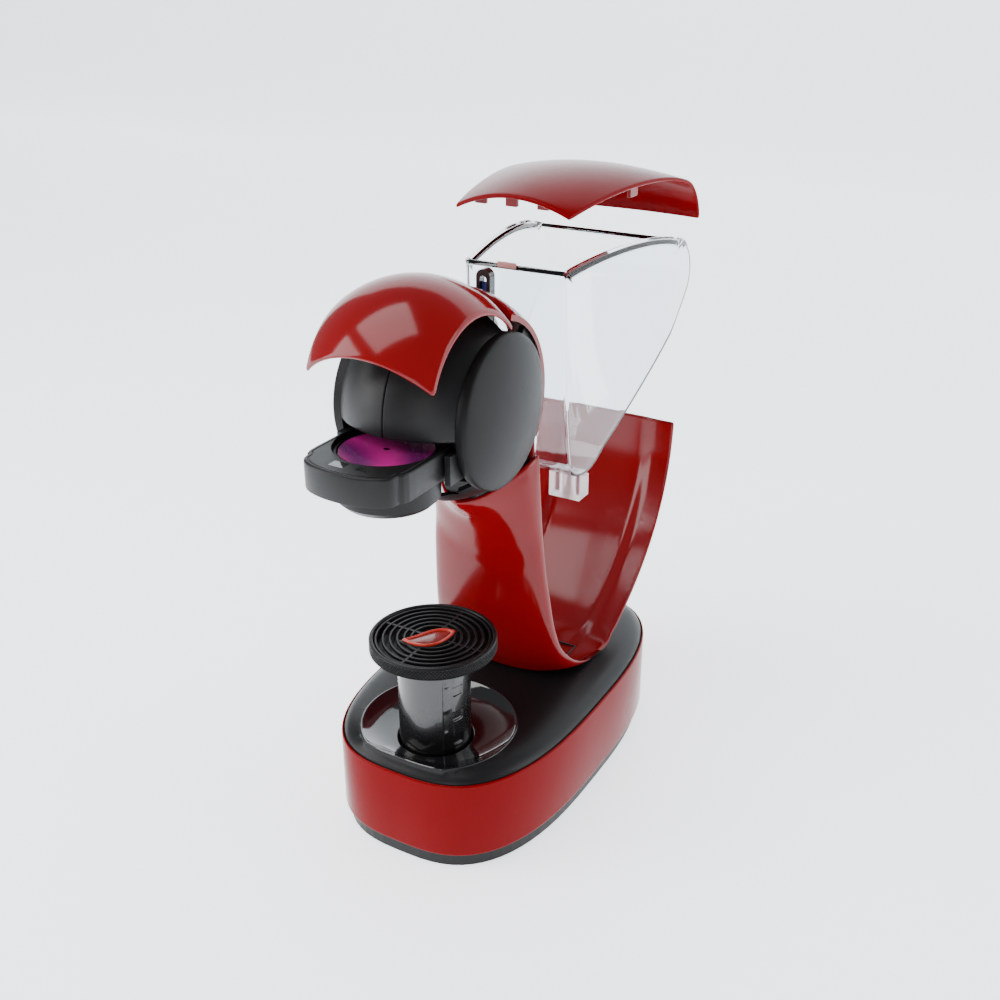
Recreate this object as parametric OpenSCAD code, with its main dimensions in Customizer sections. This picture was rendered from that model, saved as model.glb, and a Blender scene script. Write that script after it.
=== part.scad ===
// Pod coffee machine: oval base with an adjustable drip stand, a V-shaped body,
// a ball-shaped brewing head with a lifting visor, a pod drawer, a tank and a lid.
// Origin: centre of the base on the surface it stands on. Front is -Y, up is +Z.

/* [Base] */
// Width of the base
base_w = 157; // [150:0.5:165]
// Front to back length of the base
base_l = 271; // [266:1:280]
// Height of the coloured band's top edge
band_top = 64.4; // [62:0.2:66]
// Wall thickness of the coloured band
band_wall = 2.6; // [2:0.1:3]

/* [Drip stand] */
// Front to back place of the drip stand's axis
stand_y = -88; // [-89:0.5:-87]
// Radius of the sliding column
column_r = 23.4; // [22:0.1:23.8]
// Height of the cup's top rim when raised
cup_top = 139.4; // [136:0.2:140]
// Outer radius of the knurled cup
cup_r = 40.5; // [39:0.5:42]

/* [Head] */
// Front to back place of the ball-shaped head's centre
head_y = -73.4; // [-73.6:0.1:-73.2]
// Height of the head's centre
head_z = 291.7; // [291:0.1:292]
// Outer radius of the black drum
drum_r = 59.5; // [59:0.1:60]
// Outer radius of the visor's ball surface
visor_r = 64.5; // [64:0.1:64.8]
// Half width of the visor
visor_half = 41; // [40:0.2:41]
// Angle the visor is lifted by
visor_open = 32.5; // [28:0.5:33]

/* [Pod drawer] */
// Distance the drawer is pulled out
drawer_out = 41; // [38:0.5:42]
// Diameter of the pod's rim
pod_d = 54; // [53:0.5:54]

/* [Tank] */
// Distance the tank is lifted straight up
tank_up = 124; // [110:1:124]
// Distance the lid is lifted off the tank
lid_up = 33.5; // [30:0.5:34]
// Wall thickness of the tank
tank_wall = 2.2; // [2:0.1:2.6]

/* [Hidden] */
$fn = 64;

gap = 0.4;                       // clearance between pieces that move past each other
deck_top = 71.4;                 // flat top of the black deck
deck_low = 58;                   // lower edge of the deck's skirt
plate_top = 10;                  // top edge of the bottom plate
floor_t = 3;                     // thickness of the bottom plate's floor
bowl_r = 48.2;                   // rim of the glossy bowl
bowl_y = -83.5;                  // centre of the bowl's rim
bowl_low = 64;                   // bowl's surface next to the column
socket_r = column_r + gap;       // bore that the column slides in
column_low = 57;                 // lower end of the raised column
cup_low = cup_top - 8.3;         // underside of the cup
body_half = 54.6;                // half width of the V-shaped body
body_wall = 3.2;
body_low = deck_top + 0.1;
inner_r = drum_r - 2.5;          // inside of the drum
plate_x = 34.4;                  // inner face of the chassis side plates
disc_x = 38.1;                   // back plane of a side disc
disc_r = 45.3;
pivot = [-61, 341];              // visor axle, as [y, z]
axle_r = 3;
// Centre of the lifted visor's ball.
open_y = pivot[0] + (head_y - pivot[0]) * cos(visor_open) + (head_z - pivot[1]) * sin(visor_open);
open_z = pivot[1] - (head_y - pivot[0]) * sin(visor_open) + (head_z - pivot[1]) * cos(visor_open);
pod_y = -88 - drawer_out;        // axis of the pulled-out pod
pod_in_y = -88;                  // axis of the injector and of a pod in place
drawer_top = 283;
drawer_low = 266;
drawer_half = 33;
tank_back = 15;                  // the tank also leans back by this much on its way up
tank_front_half = 35.4;
tank_rear_half = 57;
foot_x = [15, 38];
foot_y = [38, 52];
foot_low = 190;
lever_pivot = [-21, 322];        // selector lever's axle, as [y, z]
button_x = -51.5;

// A point on a cubic Bezier curve, and a list of them without the last one.
function bez(p, t) = pow(1 - t, 3) * p[0] + 3 * t * pow(1 - t, 2) * p[1]
                   + 3 * t * t * (1 - t) * p[2] + t * t * t * p[3];
function bez_run(p, n) = [for (i = [0:n - 1]) bez(p, i / n)];
// Rounded oval, a superellipse, as wide as w and as long as l.
function oval(w, l, n = 2.9, steps = 72) = [for (i = [0:steps - 1])
    let (a = 360 * i / steps, c = cos(a), s = sin(a))
    [w / 2 * sign(c) * pow(abs(c), 2 / n), l / 2 * sign(s) * pow(abs(s), 2 / n)]];
// A list of points drawn towards a centre by a factor.
function shrink(pts, c, k) = [for (p = pts) c + (p - c) * k];

// A block of the rounded base outline, inset from the outside by d.
module base_block(d, z0, z1)
    translate([0, 0, z0]) linear_extrude(z1 - z0) polygon(oval(base_w - 2 * d, base_l - 2 * d));
// A rod along X from x0 to x1, at [y, z].
module x_rod(r, x0, x1, at = [0, 0])
    translate([x0, at[0], at[1]]) rotate([0, 90, 0]) cylinder(r = r, h = x1 - x0);
// A rod along Y from y0 to y1, at [x, z].
module y_rod(r, y0, y1, at = [0, 0])
    translate([at[0], y0, at[1]]) rotate([-90, 0, 0]) cylinder(r = r, h = y1 - y0);
module z_rod(r, z0, z1, at = [0, 0])
    translate([at[0], at[1], z0]) cylinder(r = r, h = z1 - z0);
// A box given by its low and high corners.
module span(low, high) translate(low) cube(high - low);
// A side outline in [y, z], extruded along X from x0 to x1.
module side_block(pts, x0, x1)
    translate([x0, 0, 0]) rotate([90, 0, 90]) linear_extrude(x1 - x0) polygon(pts);
// Children at the head's centre.
module at_head() translate([0, head_y, head_z]) children();
// A fan around the head's axis from angle a0 to a1, measured upward from the front.
module fan(a0, a1, x0, x1, r = 140)
    side_block(concat([[0, 0]], [for (i = [0:8]) let (a = a0 + (a1 - a0) * i / 8)
        [-r * cos(a), r * sin(a)]]), x0, x1);
// Part of a ball shell, |x| < half, between two angles around the head's axis.
module ball_band(r_out, r_in, half, a0, a1)
    intersection() {
        difference() {
            sphere(r = r_out, $fn = 96);
            sphere(r = r_in, $fn = 96);
        }
        fan(a0, a1, -half, half);
    }
// The same band as a profile swept about the head's axis.
module swept_band(r_out, r_in, half, a0, a1, steps = 16)
    rotate([0, 90, 0]) rotate([0, 0, -a1 - 90]) rotate_extrude(angle = a1 - a0, $fn = 144) polygon(concat(
        [for (i = [0:steps]) let (x = half * (2 * i / steps - 1)) [sqrt(r_out * r_out - x * x), x]],
        [for (i = [steps:-1:0]) let (x = half * (2 * i / steps - 1)) [sqrt(r_in * r_in - x * x), x]]));
// Children turned about the visor's axle from closed to lifted.
module lifted()
    translate([0, pivot[0], pivot[1]]) rotate([-visor_open, 0, 0])
        translate([0, -pivot[0], -pivot[1]]) children();
// Closed solid between matching rings of points, the first and last ring capped.
module skin(rings) {
    n = len(rings[0]);
    m = len(rings);
    polyhedron([for (r = rings) each r],
        concat([[for (i = [0:n - 1]) i]],
            [for (j = [0:m - 2]) for (i = [0:n - 1])
                [j * n + i, (j + 1) * n + i, (j + 1) * n + (i + 1) % n, j * n + (i + 1) % n]],
            [[for (i = [n - 1:-1:0]) (m - 1) * n + i]]));
}
// Closed ring-shaped solid through matching rings of points, the last joined to the first.
module loop_skin(rings) {
    n = len(rings[0]);
    m = len(rings);
    polyhedron([for (r = rings) each r], [for (j = [0:m - 1]) for (i = [0:n - 1])
        [j * n + i, ((j + 1) % m) * n + i, ((j + 1) % m) * n + (i + 1) % n, j * n + (i + 1) % n]]);
}
// Round tube along a route of points; side is a direction the route never runs in.
module tube(route, r, sides = 8, side = [1, 0, 0]) {
    last = len(route) - 1;
    skin([for (k = [0:last])
        let (d = route[min(k + 1, last)] - route[max(k - 1, 0)], f = d / norm(d),
             u0 = cross(f, side), u = u0 / norm(u0), v = cross(f, u))
        [for (i = [0:sides - 1]) route[k] + r * (cos(-360 * i / sides) * u
            + sin(-360 * i / sides) * v)]]);
}

module base_plate()
    color([0.09, 0.09, 0.10]) difference() {
        union() {
            difference() {
                base_block(3.2, 0, plate_top);
                base_block(6.2, floor_t, plate_top + 1);
            }
            for (x = [-55, 55]) for (y = [-78, 78]) z_rod(4.5, floor_t - 0.5, 20, [x, y]);
        }
        for (x = [-46, 46]) for (y = [-96, 96]) z_rod(8.2, -1, 1.8, [x, y]);
        for (x = [-55, 55]) for (y = [-78, 78]) {
            z_rod(3.6, -1, 1.6, [x, y]);
            z_rod(1.6, -1, 21, [x, y]);
        }
        for (i = [0:6]) span([-20, -24 + i * 8, -1], [20, -21 + i * 8, floor_t + 1]);
    }
module rubber_feet()
    color([0.05, 0.05, 0.05])
        for (x = [-46, 46]) for (y = [-96, 96]) z_rod(8, 0, 1.8, [x, y]);
module base_screws()
    color("silver") for (x = [-55, 55]) for (y = [-78, 78]) {
        z_rod(3.2, 0.4, 1.6, [x, y]);
        z_rod(1.5, 1.6, 24, [x, y]);
    }
module base_band()
    color([0.62, 0.05, 0.07]) difference() {
        base_block(0, plate_top, band_top);
        base_block(band_wall, plate_top - 1, band_top + 1);
        y_rod(9, base_l / 2 - 18, base_l / 2 + 2, [-38, 34]);
    }
module base_deck() {
    in = band_wall + 0.3;
    color([0.10, 0.10, 0.11]) union() {
        difference() {
            hull() {
                base_block(in, deck_low, band_top + 0.6);
                base_block(in + 2.4, deck_top - 1.6, deck_top - 1.4);
                base_block(in + 6, deck_top - 0.2, deck_top);
            }
            hull() {
                base_block(in + 2.4, deck_low - 1, band_top - 1);
                base_block(in + 8, deck_top - 2.8, deck_top - 2.6);
            }
            z_rod(bowl_r + 0.1, 40, 90, [0, bowl_y]);
            span([foot_x[0] - 3, foot_y[0] - tank_back - 3, 60],
                 [foot_x[1] + 3, foot_y[1] - tank_back + 3, 80]);
            span([-12, -4, 60], [4, 12, 80]);
        }
        for (x = [-55, 55]) for (y = [-78, 78]) difference() {
            z_rod(4.5, 20, deck_top - 2, [x, y]);
            z_rod(1.5, 19, 24.2, [x, y]);
        }
    }
}
// The bowl's rim isn't centred on the stand, so its rings shift as they narrow.
module drip_bowl()
    color([0.04, 0.04, 0.04]) difference() {
        loop_skin([for (p = concat(
            [[stand_y, socket_r + 2, 13], [stand_y, socket_r + 2, bowl_low - 2.4],
             [bowl_y, bowl_r - 2.4, deck_top - 4.4], [bowl_y, bowl_r - 0.1, deck_top - 3.6],
             [bowl_y, bowl_r - 0.1, deck_top]],
            [for (i = [1:8]) let (t = i / 8)
                [bowl_y + (stand_y - bowl_y) * t, bowl_r - 1.2 - (bowl_r - 1.2 - socket_r) * t,
                 bowl_low + (deck_top - bowl_low) * pow(1 - t, 2)]],
            [[stand_y, socket_r, 13]]))
            [for (i = [0:79]) [p[1] * cos(4.5 * i), p[0] + p[1] * sin(4.5 * i), p[2]]]]);
        for (a = [-35, 145]) translate([0, stand_y, 0]) rotate(a)
            span([socket_r - 1, -4, 40], [socket_r + 1.2, 4, 90]);
    }
module cord_inlet()
    color([0.06, 0.06, 0.06]) translate([-38, base_l / 2 - 20, 34]) rotate([-90, 0, 0])
        rotate_extrude() polygon([[3.6, 0], [11, 0], [11, 3.4], [8.6, 3.4], [8.6, 17], [7.6, 20],
            [3.6, 20]]);

module drip_column()
    color([0.05, 0.05, 0.06]) translate([0, stand_y, 0]) difference() {
        z_rod(column_r, column_low, cup_low);
        z_rod(column_r - 2.2, column_low - 1, cup_low + 1);
        // Upright guide groove with side pockets that hold the three heights.
        for (a = [-35, 145]) rotate(a) {
            span([column_r - 1.2, -3, column_low - 1], [column_r + 1, 3, cup_low - 12]);
            for (z = [70, 88, 106]) span([column_r - 1.2, -3, z], [column_r + 1, 11, z + 6]);
        }
    }
module drip_cup()
    color([0.07, 0.07, 0.07]) translate([0, stand_y, 0]) rotate_extrude($fn = 96)
        polygon([[0, cup_low], [cup_r - 1, cup_low], [cup_r, cup_low + 1], [cup_r, cup_top - 1],
            [cup_r - 0.8, cup_top], [cup_r - 3, cup_top], [cup_r - 3, cup_low + 2.2], [0, cup_low + 2.2]]);
// Flame-shaped leaf, drawn larger or smaller by a factor.
leaf_pts = concat(bez_run([[-14.6, -14], [2, -19], [13, -9], [9.5, 12]], 16),
    bez_run([[9.5, 12], [-6, 14], [-7, -6], [-14.6, -14]], 16));
module leaf(k, z0, z1)
    translate([0, 0, z0]) linear_extrude(z1 - z0) polygon(shrink(leaf_pts, [1, -3], k));
module drip_grid() {
    z0 = cup_top - 2.8;
    z1 = cup_top - 0.9;
    color([0.06, 0.06, 0.06]) translate([0, stand_y, 0]) difference() {
        union() {
            for (r = [36.9:-4.5:14]) difference() {
                z_rod(r, z0, z1);
                z_rod(r - 2, z0 - 1, z1 + 1);
            }
            for (a = [0, 90]) rotate(a) span([-36, -1.3, z0], [36, 1.3, z1]);
            leaf(1.16, z0, z1);
        }
        leaf(1.02, z0 - 1, z1 + 1);
    }
}
module drip_float()
    color([0.72, 0.06, 0.05]) translate([0, stand_y, 0]) union() {
        leaf(0.95, cup_top - 2.6, cup_top + 0.4);
        z_rod(2, cup_low + 3, cup_top - 2);
        z_rod(9, cup_low + 2.4, cup_low + 3.4);
    }

// Rear half of the V: an outline of constant thickness along a curve.
rear_curve = [[14, body_low], [85, 69.4], [158, 125], [161, 208]];
function rear_pt(t, d) = let (p = bez(rear_curve, t), q = bez(rear_curve, t + 0.01) - bez(rear_curve, t - 0.01),
    n = [-q[1], q[0]] / norm(q)) p + d * n;
// Sections of the neck: height, half width, rear edge, front centre, roundness of the front.
neck = [[body_low, 52, 20, -1, 0.72], [88, 50.4, 6, -9, 0.72], [112, 46.5, -8, -17.5, 0.72],
    [140, 43.7, -13.5, -24.5, 0.72], [172, 41, -17, -30, 0.72], [190, 39.6, -17, -33, 0.74],
    [200, 38.8, -17, -38, 0.78], [208, 38, -17, -46.8, 1.02], [216, 37.2, -16.7, -58, 1.3],
    [226, 36.3, -16, -62, 1.3], [262, 33.5, -13, -63, 1.3]];
// D-shaped ring: a rounded front and a straight back that stands out behind by back.
function neck_ring(s, d, back) = let (w = s[1] - d, f = s[3] + d, depth = s[2] + back - f) concat(
    [for (i = [0:24]) let (a = 180 - 180 * i / 24, c = cos(a))
        [w * sign(c) * pow(abs(c), s[4]), s[2] + back - depth * pow(abs(sin(a)), s[4]), s[0]]]);
module neck_solid(d, back) skin([for (s = neck) neck_ring(s, d, back)]);
// All above the sloping rim of the neck.
module neck_trim()
    side_block([[-110, 190], [0, 249.2], [0, 330], [-110, 330]], -60, 60);
module body_shell()
    color([0.62, 0.05, 0.07]) difference() {
        union() {
            difference() {
                neck_solid(0, 0);
                skin([for (s = neck) neck_ring([s[0] + (s == neck[0] ? body_wall : 0)
                    + (s == neck[10] ? 1 : 0), s[1], s[2], s[3], s[4]], 2.8, 6)]);
            }
            // Ledge inside the chin.
            intersection() {
                neck_solid(1.2, 0);
                side_block([[-66, 210.4], [-51.4, 218.2], [-51.4, 220.4], [-66, 212.6]], -50, 50);
            }
            difference() {
                side_block(concat([for (i = [0:20]) rear_pt(0.01 + 0.98 * i / 20, 0)],
                    [for (i = [20:-1:0]) rear_pt(0.01 + 0.98 * i / 20, body_wall)]), -body_half, body_half);
                neck_solid(2.8, 6);
            }
        }
        neck_trim();
        span([foot_x[0] - 1.5, foot_y[0] - tank_back - 1.5, 60],
             [foot_x[1] + 1.5, foot_y[1] - tank_back + 1.5, 92]);
        span([-12, 1.4, 60], [4, 12, 76]);
    }
module neck_cover()
    color([0.55, 0.05, 0.06]) intersection() {
        skin([for (s = neck) let (w = s[1] - 3.6, y1 = s[2] - 0.2, y0 = y1 - 1.6)
            [[w, y0, s[0]], [w, y1, s[0]], [-w, y1, s[0]], [-w, y0, s[0]]]]);
        neck_solid(3.3, 6);
        span([-60, -60, 92], [60, 60, 254]);
    }
module neck_collar()
    color([0.07, 0.07, 0.07]) difference() {
        intersection() {
            neck_solid(3.4, 6);
            span([-60, -51, 205], [60, -19.6, 248]);
        }
        intersection() {
            neck_solid(6.8, 6);
            span([-60, -48, 200], [60, -22.4, 250]);
        }
        at_head() sphere(r = drum_r + 0.4, $fn = 96);
        z_rod(7, 190, 270, [0, -24]);
    }

module head_chassis()
    color([0.10, 0.10, 0.10]) difference() {
        union() {
            for (s = [-1, 1]) {
                x0 = s > 0 ? plate_x : -disc_x + 0.1;
                at_head() x_rod(42, x0, x0 + disc_x - 0.1 - plate_x);
                at_head() intersection() {
                    x_rod(52.6, x0, x0 + disc_x - 0.1 - plate_x);
                    fan(128, 196, -60, 60);
                }
                // Runners under and over the drawer, and the guide's nose in front.
                x1 = s > 0 ? drawer_half - 2.4 : -plate_x;
                for (z = [drawer_low - 3.4, drawer_top + 0.8])
                    span([x1, -112, z], [x1 + plate_x - drawer_half + 2.4, -52, z + 2.6]);
                span([x0, -124, drawer_low - 2], [x0 + disc_x - 0.1 - plate_x, -100, drawer_top - 1.5]);
            }
            span([-plate_x, -50, 268], [plate_x, -47.4, 300]);
        }
        for (s = [-1, 1]) for (a = [60, 180, 350])
            at_head() rotate([a, 0, 0]) translate([s * 36.2, 30, 0]) rotate([0, 90, 0])
                cylinder(r = 1.5, h = 6, center = true);
        x_rod(12, -60, 60, [head_y + 4, head_z - 4]);
    }
module chassis_screws()
    color("silver") for (s = [-1, 1]) for (a = [60, 180, 350])
        at_head() rotate([a, 0, 0]) translate([0, 30, 0]) {
            x_rod(1.45, min(s * 33.4, s * 39.4), max(s * 33.4, s * 39.4));
            x_rod(3, min(s * 32, s * 34.3), max(s * 32, s * 34.3));
        }
// One black side disc: an upright rim and a low dome, hollow inside.
module side_disc()
    difference() {
        rotate([0, 90, 0]) rotate_extrude($fn = 96) polygon(concat(
            [[disc_r - 2.4, disc_x], [disc_r, disc_x], [disc_r, 43.4], [disc_r - 0.7, 44.3]],
            [for (i = [1:10]) let (t = i / 10) [(disc_r - 0.7) * (1 - t), 44.3 + 7.2 * (1 - pow(1 - t, 2))]],
            [for (i = [10:-1:0]) let (t = i / 10) [(disc_r - 3) * (1 - t), 42.2 + 7 * (1 - pow(1 - t, 2))]],
            [[disc_r - 2.4, 42.2]]));
    }
// Bosses that take the disc's screws.
module disc_bosses()
    for (a = [60, 180, 350]) rotate([a, 0, 0]) translate([0, 30, 0]) difference() {
        x_rod(3.6, disc_x, 45.5);
        x_rod(1.5, disc_x - 1, 40);
    }
module side_disc_right()
    color([0.12, 0.12, 0.12]) at_head() { side_disc(); disc_bosses(); }
module side_disc_left()
    color([0.12, 0.12, 0.12]) at_head() difference() {
        mirror([1, 0, 0]) union() { side_disc(); disc_bosses(); }
        x_rod(11.6, -60, -40);
    }
module head_drum()
    color([0.11, 0.11, 0.11]) at_head() ball_band(drum_r, inner_r, disc_x - 0.2, -3, 98);
module head_underside()
    color([0.10, 0.10, 0.10]) difference() {
        at_head() ball_band(drum_r, inner_r, disc_x - 0.2, -142, -52);
        span([-16, -140, 220], [16, -62, 270]);
        // Path of the cup under the drawer.
        span([-30.2, -135, 249.4], [30.2, pod_in_y, 271]);
        z_rod(30.2, 249.4, 271, [0, pod_in_y]);
        z_rod(6.5, 200, 270, [0, -24]);
    }
module rear_cover()
    color([0.62, 0.05, 0.07]) difference() {
        at_head() ball_band(visor_r + 3.5, visor_r + 0.8, visor_half, 108.5, 214);
        span([-12.5, -28, 317.5], [12.5, -9, 350]);
    }

module visor()
    color([0.64, 0.05, 0.07]) difference() {
        union() {
            translate([0, open_y, open_z])
                swept_band(visor_r, visor_r - 2.8, visor_half, visor_open - 12, visor_open + 106.5);
            // Two ears that carry the visor on its axle.
            for (x = [-23, 20])
                lifted() side_block([[-66.5, 335.6], [-56, 335.6], [-54.6, 347.8], [-62.5, 350]], x, x + 3);
        }
        x_rod(axle_r + 0.05, -40, 40, pivot);
        // The lower front edge is a shallow arch.
        lifted() translate([0, -150, head_z - 0.4 - 105]) rotate([-90, 0, 0])
            cylinder(r = 105, h = 80, $fn = 128);
    }
module visor_bracket()
    color([0.30, 0.31, 0.33]) difference() {
        union() {
            span([-plate_x + 0.05, -66, 324], [plate_x - 0.05, -56, 330.5]);
            for (x = [-26.6, 23.4]) {
                x_rod(4.3, x, x + 3.2, pivot);
                span([x, -65, 330], [x + 3.2, -57, 341]);
            }
        }
        x_rod(axle_r, -40, 40, pivot);
    }
module visor_axle()
    color("silver") x_rod(axle_r, -26.6, 26.6, pivot);

module injector_frame()
    color([0.30, 0.31, 0.33]) difference() {
        span([-plate_x + 0.05, -108, 316], [plate_x - 0.05, -66.5, 319]);
        for (x = [-15, 15]) z_rod(axle_r + 0.4, 300, 330, [x, pod_in_y]);
        z_rod(6.4, 300, 330, [0, pod_in_y]);
    }
module injector()
    color([0.78, 0.78, 0.76]) translate([0, pod_in_y, 0]) union() {
        z_rod(23.5, 291.4, 295);
        z_rod(10.6, 294.8, 302);
        for (x = [-15, 15]) {
            z_rod(axle_r, 294.6, 334, [x, 0]);
            z_rod(5.6, 333.8, 336, [x, 0]);
        }
        z_rod(5.6, 301, 322);
        translate([0, 0, 284]) cylinder(r1 = 0.4, r2 = 1.1, h = 4);
        z_rod(1.1, 288, 292);
    }
module injector_seal()
    color([0.55, 0.20, 0.15]) translate([0, pod_in_y, 0]) difference() {
        z_rod(21, 289, 291.4);
        z_rod(17, 288, 292);
    }
module injector_springs()
    color("silver") for (x = [-15, 15]) translate([x, pod_in_y, 0])
        tube([for (i = [0:80]) let (a = 360 * 5 * i / 80)
            [4.4 * cos(a), 4.4 * sin(a), 319.7 + 13.4 * i / 80]], 0.55, 6, [0, 0, 1]);

// Rounded outline of the drawer, its curved face at the front.
drawer_pts = concat([[-drawer_half, -96], [-drawer_half, -158]],
    [for (i = [0:12]) let (a = 180 - 180 * i / 12)
        [29.5 * cos(a) * (1 + 0.05 * sin(a)), -161 - 15.2 * pow(sin(a), 0.9)]],
    [[drawer_half, -158], [drawer_half, -96]]);
module pod_drawer()
    color([0.11, 0.11, 0.11]) difference() {
        translate([0, 0, drawer_low]) linear_extrude(drawer_top - drawer_low) polygon(drawer_pts);
        z_rod(29.9, drawer_low - 1, drawer_top + 1, [0, pod_y]);
        // Two small finger slots behind the front face.
        span([-11, -168, drawer_top - 3], [-1.5, -160.6, drawer_top + 1]);
        span([5.5, -166.6, drawer_top - 3], [12.8, -160.6, drawer_top + 1]);
        span([-27, -104, drawer_low - 1], [27, -90, drawer_top + 1]);
    }
module pod_cup()
    color([0.10, 0.10, 0.10]) translate([0, pod_y, 0]) rotate_extrude() polygon([
        [2, 243], [6.5, 243], [6.5, 250], [26, 250], [29.6, 253.5], [29.6, 280.6], [28, 280.6],
        [27.4, 278.6], [25.6, 278.6], [25.6, 256], [3.4, 253.4], [2, 252]]);
module pod_shell()
    color([0.62, 0.18, 0.42]) translate([0, pod_y, 0]) rotate_extrude() polygon([
        [0, 256.8], [20.6, 256.8], [22.4, 258.2], [24.4, 278.9], [pod_d / 2, 278.9], [pod_d / 2, 280],
        [23.4, 280], [21.4, 258.8], [20.2, 257.9], [0, 257.9]]);
module pod_foil()
    color([0.55, 0.08, 0.35]) translate([0, pod_y, 0]) difference() {
        z_rod(pod_d / 2 - 0.3, 280, 280.4);
        z_rod(2, 279, 281);
    }

module selector_valve()
    color([0.75, 0.75, 0.72]) union() {
        span([-12, -34, 301], [12, -14.6, 313]);
        for (y = [-30.5, -17.6]) {
            span([-5, y, 312], [5, y + 3.2, 322]);
            y_rod(5, y, y + 3.2, [0, lever_pivot[1]]);
        }
        y_rod(2.5, -30.5, -14.4, [0, lever_pivot[1]]);
    }
module selector_lever()
    color([0.05, 0.05, 0.05]) difference() {
        union() {
            y_rod(5, -24, -18, [0, lever_pivot[1]]);
            span([-4.8, -24, lever_pivot[1]], [4.8, -18, 353.4]);
            y_rod(4.8, -24, -18, [0, 353.4]);
        }
        y_rod(2.56, -26, -16, [0, lever_pivot[1]]);
        span([-2.3, -26, 336], [2.3, -16, 352]);
        y_rod(2.3, -26, -16, [0, 352]);
        y_rod(2.3, -26, -16, [0, 336]);
    }
module selector_mark()
    color([0.75, 0.05, 0.08]) span([-2.3, -21.6, 338], [2.3, -20.4, 350]);

module power_button()
    color([0.16, 0.16, 0.16]) at_head() union() {
        x_rod(8.6, button_x - 0.6, button_x + 4.4);
        x_rod(4, button_x + 4.4, -39.6);
    }
module button_ring()
    color([0.9, 0.25, 0.2]) at_head() difference() {
        x_rod(11.4, button_x + 0.4, button_x + 3.4);
        x_rod(9, button_x - 1, button_x + 5);
    }

// Side outline of the tank when lifted, as [y, z].
tank_pts = concat(
    [[14, 352]], bez_run([[17.4, 300], [19, 262], [26, 207], [52, 206]], 8),
    bez_run([[52, 206], [78, 208], [138, 276], [168, 312]], 8),
    bez_run([[168, 312], [176, 330], [164, 345], [148, 351]], 6),
    bez_run([[148, 351], [112, 361], [60, 357.5], [14, 352]], 8));
tank_mid = [88, 320];
module tank_plan(d)
    linear_extrude(420) polygon([[tank_front_half - d, 13 + d], [tank_rear_half - d, 140],
        [tank_rear_half - d, 185 - d], [d - tank_rear_half, 185 - d], [d - tank_rear_half, 140],
        [d - tank_front_half, 13 + d]]);
module water_tank()
    color([0.80, 0.90, 0.97, 0.4]) difference() {
        intersection() {
            side_block(tank_pts, -60, 60);
            tank_plan(0);
        }
        intersection() {
            union() {
                side_block(shrink(tank_pts, tank_mid, 0.968), -60, 60);
                side_block([for (p = shrink(tank_pts, tank_mid, 0.968)) p + [0, p[1] > 330 ? 30 : 0]], -60, 60);
            }
            tank_plan(tank_wall);
        }
        z_rod(4, 195, 225, [27, 45]);
    }
module tank_foot()
    color([0.80, 0.88, 0.94, 0.5]) difference() {
        intersection() {
            span([foot_x[0], foot_y[0], foot_low], [foot_x[1], foot_y[1], 216]);
            side_block([[30, 180], [60, 180], [60, 205.7], [52, 205.7], [46, 206], [42, 207.5], [38, 209.8],
                [30, 214]], -60, 60);
        }
        z_rod(6, foot_low + 2, 220, [27, 45]);
        z_rod(3.4, foot_low - 1, 220, [27, 45]);
    }
module tank_valve()
    color([0.85, 0.85, 0.82]) translate([27, 45, 0]) union() {
        z_rod(2.8, foot_low - 0.6, foot_low + 2.2);
        z_rod(5.4, foot_low + 2.1, foot_low + 4.5);
    }
module tank_clip()
    color([0.80, 0.55, 0.52]) span([-11, 12.2, 350.6], [2, 13.6, 354]);

// The lid is a sheet with a crowned cross-section.
function lid_line(t) = t < 0.7 ? bez([[11, 387.5], [60, 398.5], [115, 399.5], [148, 389.5]], t / 0.7)
                               : bez([[148, 389.5], [161, 385.5], [171, 373], [172.7, 361]], (t - 0.7) / 0.3);
function lid_half(y) = 38.8 + (59 - 38.8) * pow(min(max((y - 11) / 144, 0), 1), 0.9);
function lid_pt(t, s, d) = let (p = lid_line(t), q = lid_line(min(t + 0.01, 1)) - lid_line(max(t - 0.01, 0)),
    n = [-q[1], q[0]] / norm(q), crown = (9.5 - 6 * t) * (1 - s * s))
    [s * lid_half(p[0]), p[0] + (crown - d) * n[0], p[1] + (crown - d) * n[1]];
module tank_lid()
    color([0.64, 0.05, 0.07]) union() {
        skin([for (i = [0:24]) let (t = i / 24) concat([for (j = [-6:6]) lid_pt(t, j / 6, 0)],
            [for (j = [6:-1:-6]) lid_pt(t, j / 6, 2.6)])]);
        for (x = [-30, -8, 14]) span([x, 18, 379], [x + 8, 20, 397.4 - 0.006 * pow(x + 4, 2)]);
    }

module dock_socket()
    color([0.08, 0.08, 0.08]) difference() {
        x0 = foot_x[0] - 1.2;
        x1 = foot_x[1] + 1.2;
        y0 = foot_y[0] - tank_back - 1.2;
        y1 = foot_y[1] - tank_back + 1.2;
        span([x0, y0, 58], [x1, y1, 76]);
        span([x0 + 0.8, y0 + 0.8, 65.4], [x1 - 0.8, y1 - 0.8, 80]);
        z_rod(2.5, 50, 70, [27, 45 - tank_back]);
    }
module water_pump()
    color([0.72, 0.55, 0.25]) union() {
        y_rod(17, 40, 92, [-31, 30]);
        y_rod(11, 26, 40, [-31, 30]);
        y_rod(9, 92, 108, [-31, 30]);
        span([-49.5, 46, 14], [-13, 86, 30]);
        y_rod(4, 108, 113, [-31, 30]);
    }
module pump_mounts()
    color([0.06, 0.06, 0.06]) for (y = [29, 95]) difference() {
        span([-45, y, floor_t], [-17, y + 8, 32]);
        y_rod(y < 50 ? 11.1 : 9.1, y - 1, y + 9, [-31, 30]);
    }
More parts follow.
